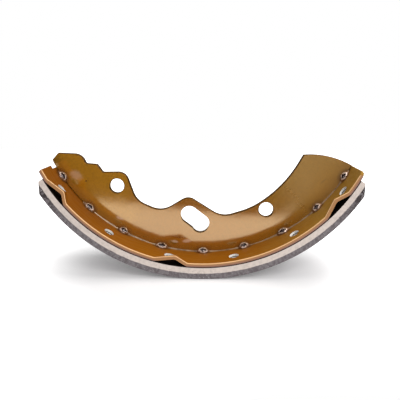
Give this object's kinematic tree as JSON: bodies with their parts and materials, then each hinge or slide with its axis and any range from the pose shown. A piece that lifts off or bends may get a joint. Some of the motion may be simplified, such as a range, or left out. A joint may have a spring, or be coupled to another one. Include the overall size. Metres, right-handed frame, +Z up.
{
  "type": "brake shoe",
  "caption": "Drum brake shoe: a flat steel web welded into a curved rim that carries a bonded friction lining.",
  "frame": {"origin": "lowest point of the lining, half way along and half way across the shoe", "axes": "+X along the shoe from the notched end to the rounded end, +Y across the shoe along the drum axis, +Z up from the lining to the web's free edge"},
  "size_m": [0.1662, 0.038, 0.0615],
  "materials": {
    "web_steel": "gloss",
    "rim_steel": "gloss",
    "adhesive": "matte",
    "friction_lining": "matte",
    "weld_metal": "gloss"
  },
  "bodies": {
    "root": {"web": "web_steel", "rim": "rim_steel", "bond_film": "adhesive", "lining": "friction_lining", "weld_1": "weld_metal", "weld_2": "weld_metal", "weld_3": "weld_metal", "weld_4": "weld_metal", "weld_5": "weld_metal", "weld_6": "weld_metal", "weld_7": "weld_metal", "weld_8": "weld_metal", "weld_9": "weld_metal"}
  },
  "joints": []
}
